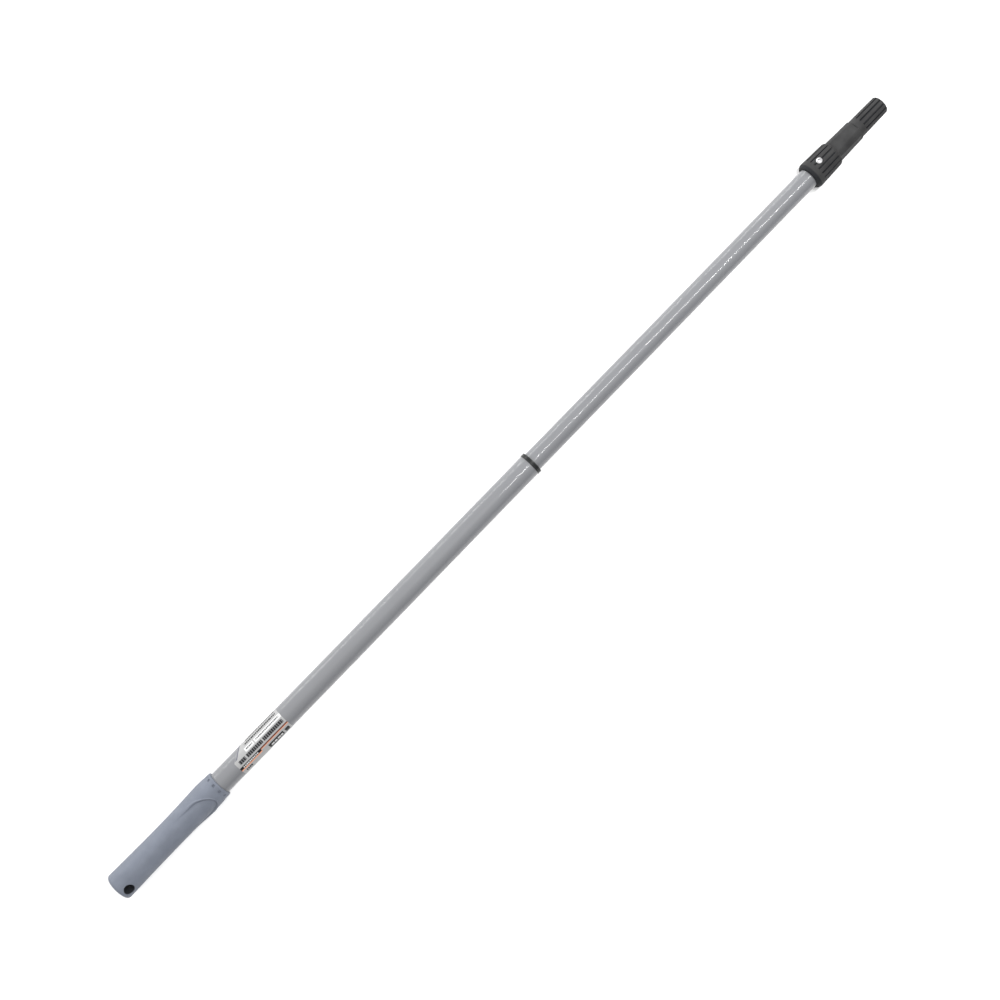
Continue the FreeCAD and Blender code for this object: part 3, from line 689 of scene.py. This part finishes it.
def hang_hole_tool():
    """The shape the hang hole takes out: a bore whose ends flare into the grip's round surface."""
    surface = curve_through(GRIP_RADII, HANG_HOLE_AT)
    flare = [HANG_HOLE_CLEAR]
    for step in range(HANG_HOLE_EDGE_STEPS + 1):
        turn = math.pi / 2 * step / HANG_HOLE_EDGE_STEPS
        flare.append((HANG_HOLE_EDGE * (1 - math.cos(turn)), HANG_HOLE_EDGE * (1 - math.sin(turn))))
    rows = []
    for side, ends in ((1, flare), (-1, reversed(flare))):
        for depth, wider in ends:
            row = []
            for turn in even_angles(HANG_HOLE_SEGMENTS):
                radius = HANG_HOLE_RADIUS + wider
                height = math.sqrt(surface ** 2 - (HANG_HOLE_RADIUS * math.sin(turn)) ** 2) - depth
                row.append((radius * math.cos(turn), radius * math.sin(turn), side * height))
            rows.append(row)
    verts, faces = stacked(rows, capped=True)
    tool = new_object("hang_hole_tool", verts, faces, GRIP_PLASTIC)
    clean(tool)
    centre = Vector((GRIP_LOW.x + HANG_HOLE_AT * MM, 0, AXIS.z))
    tool.matrix_world = Matrix.Translation(centre) @ Matrix.Rotation(GRIP_TURN, 4, "X")
    return tool


LABEL_HALF_WRAP = math.radians(115)
LABEL_GAP, LABEL_LIFT = 0.01 * MM, 0.12 * MM   # its two faces, off the tube
LABEL_CORNER = 1.5 * MM
LABEL_COLUMNS = 120
LABEL_ROWS = 60


def label_ends(angle):
    """Where the label starts and ends along the pole at an angle: one corner is cut, all are round."""
    low, high = LABEL_LOW.x, LABEL_HIGH.x
    side = OUTER_RADIUS * math.sin(min(max(-angle, 0), math.pi / 2))
    start = low + max(0, side - LABEL_SLANT_FROM) * LABEL_SLANT_RISE
    from_side = (LABEL_HALF_WRAP - abs(angle)) * OUTER_RADIUS
    inset = 0
    if from_side < LABEL_CORNER:
        inset = LABEL_CORNER - math.sqrt(LABEL_CORNER ** 2 - (LABEL_CORNER - from_side) ** 2)
    return start + inset, high - inset


def make_label():
    """The printed wrap, a thin sheet with its own edge, and a print map in millimetres."""
    verts, print_places = [], []
    for radius in (OUTER_RADIUS + LABEL_GAP, OUTER_RADIUS + LABEL_LIFT):
        for column in range(LABEL_COLUMNS + 1):
            angle = LABEL_HALF_WRAP * (2 * column / LABEL_COLUMNS - 1)
            start, end = label_ends(angle)
            for row in range(LABEL_ROWS + 1):
                x = start + (end - start) * row / LABEL_ROWS
                verts.append(around(x, radius, angle))
                print_places.append(((x - LABEL_LOW.x) / MM, angle * OUTER_RADIUS / MM))
    high = LABEL_ROWS + 1
    wide = LABEL_COLUMNS + 1
    sheet = high * wide
    faces = []
    for base in (0, sheet):
        for column in range(LABEL_COLUMNS):
            for row in range(LABEL_ROWS):
                corner = base + column * high + row
                faces.append((corner, corner + 1, corner + high + 1, corner + high))
    rim = ([column * high for column in range(wide)]
           + [(wide - 1) * high + row for row in range(1, high)]
           + [column * high + high - 1 for column in range(wide - 2, -1, -1)]
           + [row for row in range(high - 2, 0, -1)])
    for first, second in zip(rim, rim[1:] + rim[:1]):
        faces.append((first, second, second + sheet, first + sheet))
    piece = new_object("label_wrap", verts, faces, LABEL_PRINT)
    layer = piece.data.uv_layers.new(name="print")
    for loop in piece.data.loops:
        layer.data[loop.index].uv = print_places[loop.vertex_index]
    clean(piece, join=False)
    return stand_in(piece, "label", "outer_section")


BUSH_BORE = 11.4 * MM
BUSH_REAR_DROP = 0.1 * MM     # how far the beads' outer corners are under the bush's full radius
BUSH_FRONT_DROP = 0.15 * MM
BUSH_WAIST = 0.4 * MM         # how deep the groove between the beads is
BUSH_WAIST_FLOOR = 0.2 * MM   # half the groove's width, at its floor and at its top
BUSH_WAIST_TOP = 0.5 * MM


def make_bush():
    """The black bush: two soft beads round the tube's mouth, and the sleeve inside it."""
    mouth, front = OUTER_HIGH.x, BUSH_HIGH.x
    flange = (BUSH_HIGH.y - BUSH_LOW.y) / 2
    waist = flange - BUSH_WAIST
    inside = OUTER_RADIUS - WALL
    middle = (mouth + front) / 2
    outline = eased([
        (BUSH_LOW.x, BUSH_BORE, 0.2 * MM), (BUSH_LOW.x, inside, 0.1 * MM), (mouth, inside, 0),
        (mouth, flange - BUSH_REAR_DROP, 0.35 * MM), (middle - BUSH_WAIST_TOP, flange, 0.3 * MM),
        (middle - BUSH_WAIST_FLOOR, waist, 0), (middle + BUSH_WAIST_FLOOR, waist, 0),
        (middle + BUSH_WAIST_TOP, flange, 0.3 * MM), (front, flange - BUSH_FRONT_DROP, 0.6 * MM),
        (front, BUSH_BORE, 0.4 * MM),
    ])
    rings = plain_rings(divided(outline, 4 * MM), TUBE_SEGMENTS)
    piece = turned("mouth_bush", rings, even_angles(TUBE_SEGMENTS), BUSH_PLASTIC)
    return stand_in(piece, "collar_bush", "outer_section")


# The tip's details, in millimetres. A groove's half width is in segments.
TIP_SEGMENTS = 384
TIP_RING_STEP = 0.6
SOCKET_RADIUS, SOCKET_DEPTH = 11, 35
NECK_CORE_RADIUS, NECK_CORE_END = 7.5, 64
SPIGOT_HOLE_RADIUS, SPIGOT_HOLE_DEPTH = 5, 28
SPIGOT_RADIUS = 10.92
NECK_STEP_LOW = 0.03   # the lowest part of the step from the neck to the spigot stays round
NEAR = 0.01            # slack where stations are compared
FLAT_AT_COLLAR, FLAT_AT_END = 11.2, 10.85
COLLAR_GROOVES = {"count": 16, "half": 4, "start": 8.6, "floor": ((8.6, 14.0), (37.6, 13.45))}
SPIGOT_GROOVES = {"count": 12, "half": 6, "start": 78.9, "floor": ((78.9, 9.3), (112, 8.9))}
GROOVE_RUN_IN = 1.3
GROOVE_EDGE = 0.06     # the share of a groove's depth that its outermost segments have
SEAT_AT = 16.15        # the screw's flat seat
SEAT_HEIGHT = 14.5
SEAT_RADIUS = 4


def groove_floor(grooves, station, radius, offset):
    """The radius that a set of grooves leaves at a station, for a number of segments off a groove."""
    if station < grooves["start"] or offset > grooves["half"]:
        return radius
    (first, low), (last, high) = grooves["floor"]
    floor = low + (high - low) * (station - first) / (last - first)
    share = float(smooth_step(grooves["start"], grooves["start"] + GROOVE_RUN_IN, station))
    if offset == grooves["half"]:
        share *= GROOVE_EDGE
    return min(radius, radius + (floor - radius) * share)


def tip_radius(station, radius, number):
    """The tip's outer radius at a station, where segment 0 is in line with its screw."""
    angle = 2 * math.pi * number / TIP_SEGMENTS
    on_neck = COLLAR_END - NEAR < station <= NECK_END + NEAR / 10
    if on_neck and radius > SPIGOT_RADIUS + NECK_STEP_LOW:
        share = (station - COLLAR_END) / (NECK_END - COLLAR_END)
        flat = FLAT_AT_COLLAR + (FLAT_AT_END - FLAT_AT_COLLAR) * share
        off = (angle + math.pi / 4) % (math.pi / 2) - math.pi / 4
        return min(radius, flat / math.cos(off))
    grooves = COLLAR_GROOVES if station <= COLLAR_END else SPIGOT_GROOVES
    pitch = TIP_SEGMENTS // grooves["count"]
    offset = abs((number + pitch // 2) % pitch - pitch // 2)
    radius = groove_floor(grooves, station, radius, offset)
    off = (angle + math.pi) % (2 * math.pi) - math.pi
    on_screw_side = abs(off) < 1
    if on_screw_side and math.hypot(station - SEAT_AT, radius * math.sin(off)) < SEAT_RADIUS:
        radius = min(radius, SEAT_HEIGHT / math.cos(off))
    return radius


def make_tip():
    """The moulded tip: ribbed collar, flatted neck and grooved spigot, hollow as it is moulded."""
    hole_end = TIP_LENGTH - SPIGOT_HOLE_DEPTH
    # Each outline's points are (station, radius), with an ease where a corner is rounded.
    socket = [(NECK_CORE_END, 0), (NECK_CORE_END, NECK_CORE_RADIUS),
              (SOCKET_DEPTH, NECK_CORE_RADIUS), (SOCKET_DEPTH, SOCKET_RADIUS)]
    outside = divided(eased([
        (0, SOCKET_RADIUS, 0), (0, 14.1, 0.8), (TIP_MOUTH_BEVEL, 15.84, 0.9), (35.8, 14.68, 1.5),
        (COLLAR_END, 13.3, 0.6), (COLLAR_END, 13.0, 0), (NECK_END, 11.9, 0.25),
        (NECK_END + 0.4, SPIGOT_RADIUS, 0.15), (TIP_LENGTH - 1.2, 10.45, 0.5),
        (TIP_LENGTH, 9.4, 0.3), (TIP_LENGTH, SPIGOT_HOLE_RADIUS, 0),
    ]), TIP_RING_STEP, closed=False)
    hole = eased([
        (TIP_LENGTH, SPIGOT_HOLE_RADIUS, 0.4), (hole_end, SPIGOT_HOLE_RADIUS, 0), (hole_end, 0, 0),
    ])[1:]
    rings = [[place] * TIP_SEGMENTS for place in socket]
    for x, radius in outside:
        if radius <= SPIGOT_HOLE_RADIUS or (radius <= SOCKET_RADIUS and x < 1):
            rings.append([(x, radius)] * TIP_SEGMENTS)
        else:
            rings.append([(x, tip_radius(x, radius, number)) for number in range(TIP_SEGMENTS)])
    rings += [[(x, radius)] * TIP_SEGMENTS for x, radius in hole]
    placed = [[(TIP_LOW.x + x * MM, radius * MM) for x, radius in ring] for ring in rings]
    angles = [TIP_TURN + angle for angle in even_angles(TIP_SEGMENTS)]
    piece = turned("tool_tip_shell", placed, angles, TIP_PLASTIC, 30)
    return stand_in(piece, "tool_tip", "inner_section")


# The screw's sizes, in millimetres. Its heights are from the seat.
SCREW_SEGMENTS = 64
SCREW_HEAD = 3.6
SCREW_SHANK = 1.6
SCREW_HEIGHT = 2.2
SCREW_RIM = 0.9
SCREW_CROWN = 0.45 * SCREW_HEAD
SCREW_LENGTH = 7
SCREW_POINT = 1.6
CROSS_HALF, CROSS_WIDTH, CROSS_DEEP = 2.1, 1.1, 1.6
CROSS_FLOOR_SCALE, CROSS_TOP_SCALE = 0.45, 1.1   # its arms' reach at the floor and above the head


def make_screw():
    """The bright pan head screw, its cross recess and its shank, set square to the collar."""
    outline = eased([
        (-SCREW_LENGTH, 0, 0), (-SCREW_LENGTH + SCREW_POINT, SCREW_SHANK, 0), (0, SCREW_SHANK, 0),
        (0, SCREW_HEAD, 0.25), (SCREW_RIM, SCREW_HEAD, 0.5), (SCREW_HEIGHT, SCREW_CROWN, 1.2),
        (SCREW_HEIGHT, 0, 0),
    ], 7)
    rows = [[(radius * math.cos(turn), radius * math.sin(turn), height)
             for turn in even_angles(SCREW_SEGMENTS)] for height, radius in outline]
    verts, faces = stacked(rows)
    piece = new_object("collar_screw", verts, faces, STEEL, 30)
    clean(piece)
    cut_away(piece, cross_tool(), 30)
    clean(piece)
    seat = Vector(around(TIP_LOW.x + SEAT_AT * MM, SEAT_HEIGHT * MM, TIP_TURN))
    place = Matrix.Translation(seat) @ Matrix.Rotation(TIP_TURN, 4, "X")
    piece.data.transform(place)
    return stand_in(piece, "tip_screw", "inner_section")


def cross_tool():
    """The cross recess: a plus that tapers towards its floor."""
    rows = []
    for height, scale in ((SCREW_HEIGHT - CROSS_DEEP, CROSS_FLOOR_SCALE),
                          (SCREW_HEIGHT + 0.5, CROSS_TOP_SCALE)):
        half, side = CROSS_HALF * scale, CROSS_WIDTH / 2 * (0.7 + 0.3 * scale)
        rows.append([(x, y, height) for x, y in (
            (half, side), (side, side), (side, half), (-side, half), (-side, side), (-half, side),
            (-half, -side), (-side, -side), (-side, -half), (side, -half), (side, -side), (half, -side),
        )])
    verts, faces = stacked(rows, capped=True)
    tool = new_object("cross_tool", verts, faces, STEEL)
    clean(tool)
    return tool


def finish_inner_pieces():
    """The lock's pieces, sealed in the tubes, keep their CAD shapes and get real finishes."""
    finishes = {
        "guide_sleeve": NYLON, "lock_spindle": NYLON, "lock_washer": NYLON,
        "lock_ring": RED_ACETAL, "drag_ring": RUBBER,
        "spindle_pin": STEEL, "lock_screw": STEEL,
    }
    for node, material in finishes.items():
        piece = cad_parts[node]
        piece.data.materials.clear()
        piece.data.materials.append(material)


# ---------------------------------------------------------------- stage

FOCAL = 55.8           # millimetres, as is the next
SENSOR_WIDTH = 36
CAMERA_FROM = 1.6078   # metres from the pole's axis to the camera
CAMERA_TILT = math.radians(4.0)
CAMERA_ROLL = math.radians(45.81)
AIM = Vector((GRIP_LOW.x + 552.65 * MM, -3.4 * MM, AXIS.z))


def make_camera():
    """The camera looks down on the pole, which runs up to the right and a little away."""
    away = Vector((math.sin(CAMERA_TILT), 0, -math.cos(CAMERA_TILT)))
    along = Vector((math.cos(CAMERA_TILT), 0, math.sin(CAMERA_TILT)))
    beside = Vector((0, -1, 0))
    right = along * math.cos(CAMERA_ROLL) + beside * math.sin(CAMERA_ROLL)
    up = along * math.sin(CAMERA_ROLL) - beside * math.cos(CAMERA_ROLL)
    data = bpy.data.cameras.new("camera")
    data.lens = FOCAL
    data.sensor_width = SENSOR_WIDTH
    data.clip_start, data.clip_end = 0.05, 50
    camera = bpy.data.objects.new("camera", data)
    turn = Matrix((right, up, -away)).transposed().to_4x4()
    camera.matrix_world = Matrix.Translation(AIM - away * CAMERA_FROM) @ turn
    bpy.context.scene.collection.objects.link(camera)
    bpy.context.scene.camera = camera


def add_light(name, place, aim, width, length, radiance):
    """A soft rectangular light whose length runs along the pole. The camera doesn't see it."""
    data = bpy.data.lights.new(name, "AREA")
    data.shape = "RECTANGLE"
    data.size, data.size_y = length, width
    data.energy = math.pi * width * length * radiance
    light = bpy.data.objects.new(name, data)
    place, aim = Vector(place), Vector(aim)
    back = (place - aim).normalized()
    side = back.cross(Vector((1, 0, 0))).normalized()
    along = side.cross(back).normalized()
    turn = Matrix((along, side, back)).transposed().to_4x4()
    light.matrix_world = Matrix.Translation(place) @ turn
    light.visible_camera = False
    bpy.context.scene.collection.objects.link(light)


def round_the_pole(x, distance, degrees):
    """A place beside the pole at an angle round it."""
    return around(x, distance, math.radians(degrees))


FLOOR_HALF = 6.0   # metres


def make_floor():
    """A plain pale floor with barely any texture."""
    material, tree, shader, place = new_material("pale_floor", Metallic=0.0)
    cloud = noise(tree, place, 300 * MM, 3)
    colour = mixed(tree, cloud, grey(0.90), grey(0.94))
    tree.links.new(colour, shader.inputs["Base Color"])
    tree.links.new(ranged(tree, cloud, 0, 1, 0.75, 0.9), shader.inputs["Roughness"])
    half = FLOOR_HALF
    verts = [(-half, -half, 0), (half, -half, 0), (half, half, 0), (-half, half, 0)]
    floor = new_object("floor", verts, [(0, 1, 2, 3)], material)


DOME_TOP = (0.10, 0.25, 0.96)   # where the dome is brightest
DOME_LOW, DOME_HIGH = 0.22, 1.9
# Each lamp: where it is, what it faces, its width and length in metres, and its radiance.
LAMPS = {
    "low_key": (round_the_pole(0, 2.0, -80), AXIS, 0.08, 4.0, 38),
    "high_strip": (round_the_pole(0.66, 1.7, 0), (0.2, 0, 0), 0.045, 1.1, 115),
}


def make_light():
    """A bright soft dome, and two narrow lamps that draw the thin streaks on the gloss paint."""
    world = bpy.data.worlds.new("studio")
    world.use_nodes = True
    tree = world.node_tree
    tree.nodes.clear()
    towards = put(tree, "TexCoord").outputs["Generated"]
    facing = put(tree, "VectorMath", towards, DOME_TOP, operation="DOT_PRODUCT").outputs["Value"]
    strength = ranged(tree, facing, 0, 1, DOME_LOW, DOME_HIGH)
    background = put(tree, "Background", (1, 1, 1, 1), strength)
    put(tree, "OutputWorld", background.outputs[0])
    bpy.context.scene.world = world
    for name, settings in LAMPS.items():
        add_light(name, *settings)


make_tube("outer_section_tube", OUTER_LOW.x, OUTER_HIGH.x, OUTER_RADIUS,
          "outer_tube", "outer_section")
make_tube("inner_section_tube", INNER_LOW.x, INNER_HIGH.x, INNER_RADIUS,
          "inner_tube", "inner_section")
make_grip()
make_label()
make_bush()
make_tip()
make_screw()
finish_inner_pieces()
make_floor()
make_light()
make_camera()

scene = bpy.context.scene
scene.view_settings.view_transform = "Standard"
scene.view_settings.look = "None"
